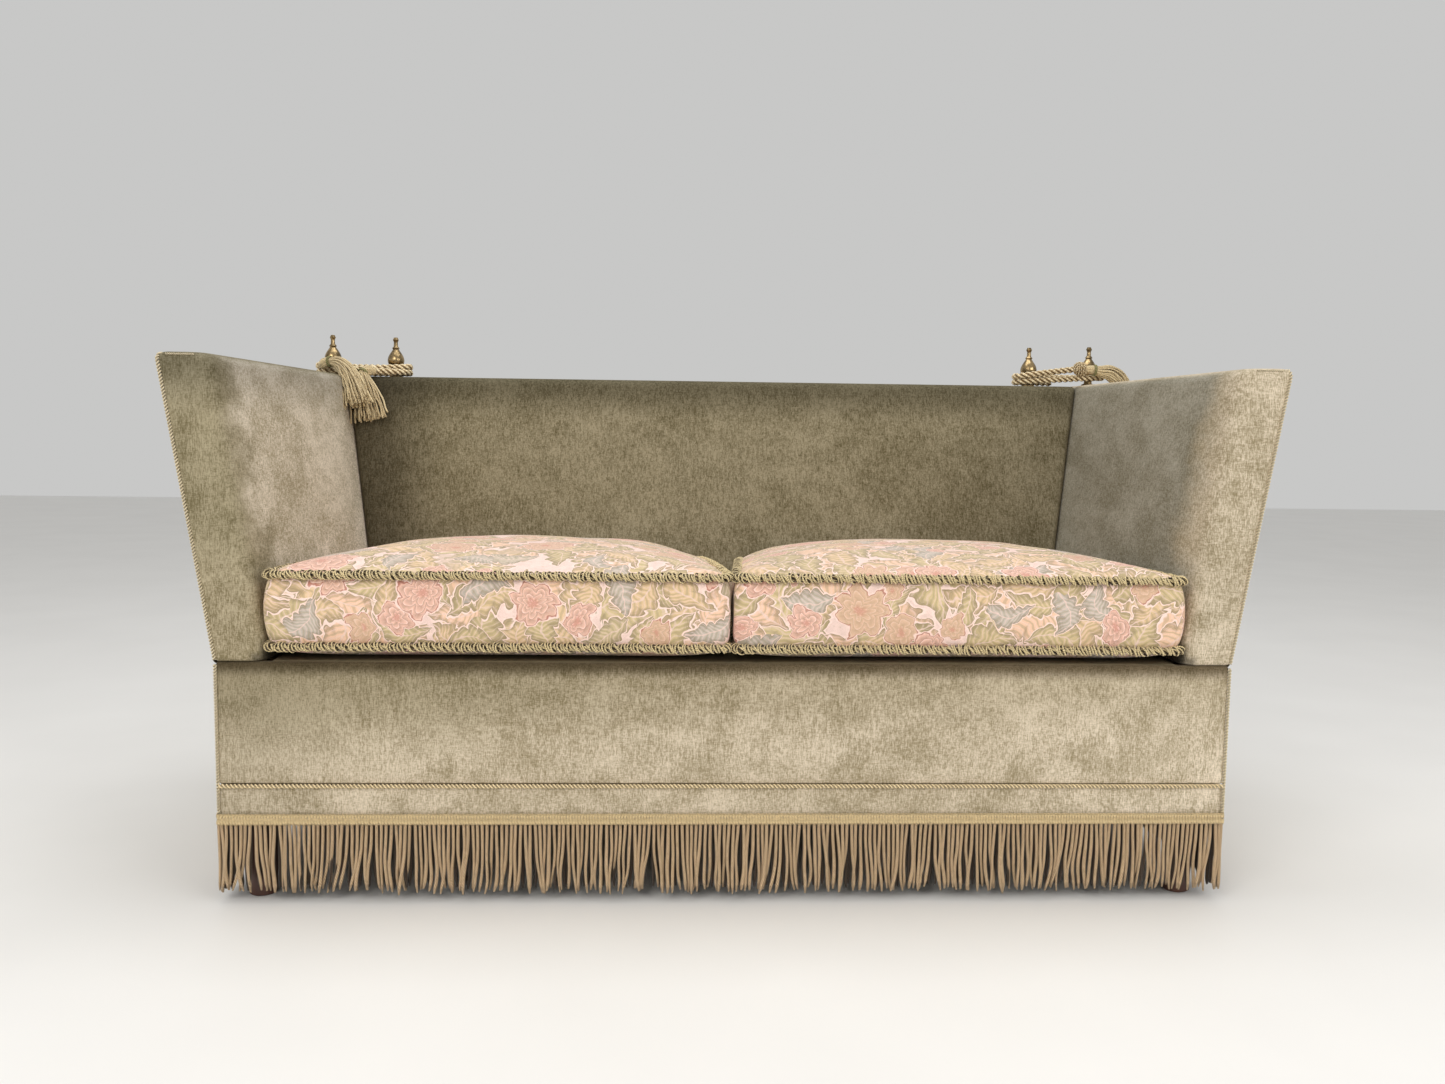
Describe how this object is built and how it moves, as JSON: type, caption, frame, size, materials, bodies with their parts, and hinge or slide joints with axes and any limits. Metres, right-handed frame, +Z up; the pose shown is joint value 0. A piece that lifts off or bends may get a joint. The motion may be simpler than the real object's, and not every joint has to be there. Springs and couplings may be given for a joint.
{
  "type": "knole sofa",
  "caption": "Knole sofa with arms that drop on hinges, corded finials, loose seat cushions and a bullion-fringed velvet base on turned feet.",
  "frame": {"origin": "under the middle of the sofa at floor level, the bottom centre of its bounding box without the cords and tassels", "axes": "+X to the right as one looks at the front, +Y towards the back, +Z up; the front faces -Y"},
  "size_m": [1.629, 0.7986, 0.858],
  "materials": {
    "wood": "plain hardwood",
    "turned_wood": "dark stained",
    "olive_velvet": "mottled pile",
    "lining": "plain weave",
    "floral_fabric": "woven floral",
    "twisted_trim": "looped trim",
    "fine_cord": "twisted cord",
    "fringe": "twisted strands",
    "rope": "three-strand rope",
    "aged_brass": "aged",
    "steel": "plain"
  },
  "bodies": {
    "base": {"front_rail": "wood", "rear_rail": "wood", "left_rail": "wood", "right_rail": "wood", "frame_braces": "wood", "left_front_foot": "turned_wood", "right_front_foot": "turned_wood", "left_rear_foot": "turned_wood", "right_rear_foot": "turned_wood", "left_back_post": "wood", "right_back_post": "wood", "back_cap_rail": "wood", "seat_springs": "steel", "hessian": "lining", "seat_deck": "lining", "front_border": "olive_velvet", "front_band": "olive_velvet", "front_cord": "fine_cord", "left_base_cover": "olive_velvet", "right_base_cover": "olive_velvet", "rear_border": "olive_velvet", "back_pad": "olive_velvet", "outside_back": "olive_velvet", "dust_cover": "lining", "corner_piping": "fine_cord", "front_fringe": "fringe", "rear_fringe": "fringe", "left_fringe": "fringe", "right_fringe": "fringe", "left_back_finial": "aged_brass", "right_back_finial": "aged_brass", "left_hinge_base_leaves": "steel", "right_hinge_base_leaves": "steel", "left_hinge_flap": "olive_velvet", "right_hinge_flap": "olive_velvet", "left_cord": "rope", "right_cord": "rope"},
    "left_arm": {"left_arm_pad": "olive_velvet", "left_arm_outside": "olive_velvet", "left_arm_piping": "fine_cord", "left_arm_finial": "aged_brass", "left_hinge_arm_leaves": "steel", "left_arm_bottom_rail": "wood", "left_arm_cap_rail": "wood", "left_arm_posts": "wood", "left_tassels": "rope"},
    "right_arm": {"right_arm_pad": "olive_velvet", "right_arm_outside": "olive_velvet", "right_arm_piping": "fine_cord", "right_arm_finial": "aged_brass", "right_hinge_arm_leaves": "steel", "right_arm_bottom_rail": "wood", "right_arm_cap_rail": "wood", "right_arm_posts": "wood", "right_tassel": "rope"},
    "left_cushion_body": {"left_cushion": "floral_fabric", "left_cushion_trims": "twisted_trim"},
    "right_cushion_body": {"right_cushion": "floral_fabric", "right_cushion_trims": "twisted_trim"}
  },
  "joints": [
    {"name": "left_arm_drop", "type": "hinge", "parent": "base", "child": "left_arm", "pos_m": [-0.7295, 0, 0.35], "axis": [0, -1, 0], "range_deg": [0, 80], "deforming": ["left_cord", "left_hinge_flap", "left_tassels"]},
    {"name": "right_arm_drop", "type": "hinge", "parent": "base", "child": "right_arm", "pos_m": [0.7295, 0, 0.35], "axis": [0, 1, 0], "range_deg": [0, 80], "deforming": ["right_cord", "right_hinge_flap", "right_tassel"]},
    {"name": "left_cushion_lift", "type": "slide", "parent": "base", "child": "left_cushion_body", "axis": [0, 0, 1], "range_m": [0, 0.55]},
    {"name": "right_cushion_lift", "type": "slide", "parent": "base", "child": "right_cushion_body", "axis": [0, 0, 1], "range_m": [0, 0.55]}
  ]
}
